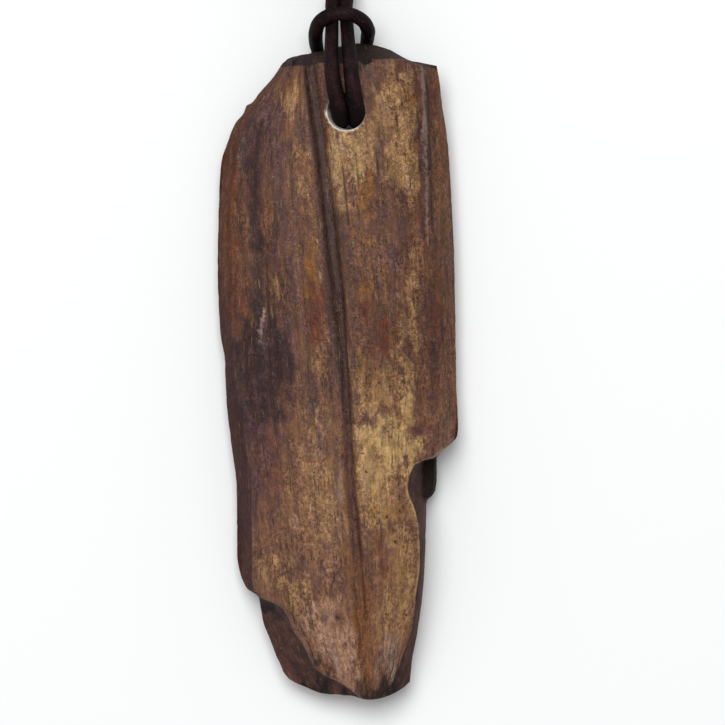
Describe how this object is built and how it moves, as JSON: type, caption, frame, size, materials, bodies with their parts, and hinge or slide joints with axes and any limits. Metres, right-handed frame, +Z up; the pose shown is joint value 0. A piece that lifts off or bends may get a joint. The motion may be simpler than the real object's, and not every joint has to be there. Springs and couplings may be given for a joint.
{
  "type": "fossil walrus tooth",
  "caption": "Long fluted fossil walrus tooth with a drilled hole, hung on a round leather cord tied in a lark's head; the spare cord lies in a coil.",
  "frame": {"origin": "bottom centre of the tooth's own box, on the surface that it lies on", "axes": "+Y along the tooth towards its drilled end, +X across it, +Z up out of its fluted front"},
  "size_m": [0.035, 0.1125, 0.0115],
  "materials": {
    "fossil_dentine": "worn and lightly polished mineralised tooth, brown with tan and purple streaks",
    "leather_cord": "round dark brown leather cord, satin"
  },
  "bodies": {
    "root": {"tooth": "fossil_dentine", "cord": "leather_cord", "cord_coil": "leather_cord", "end_knot": "leather_cord"}
  },
  "joints": []
}
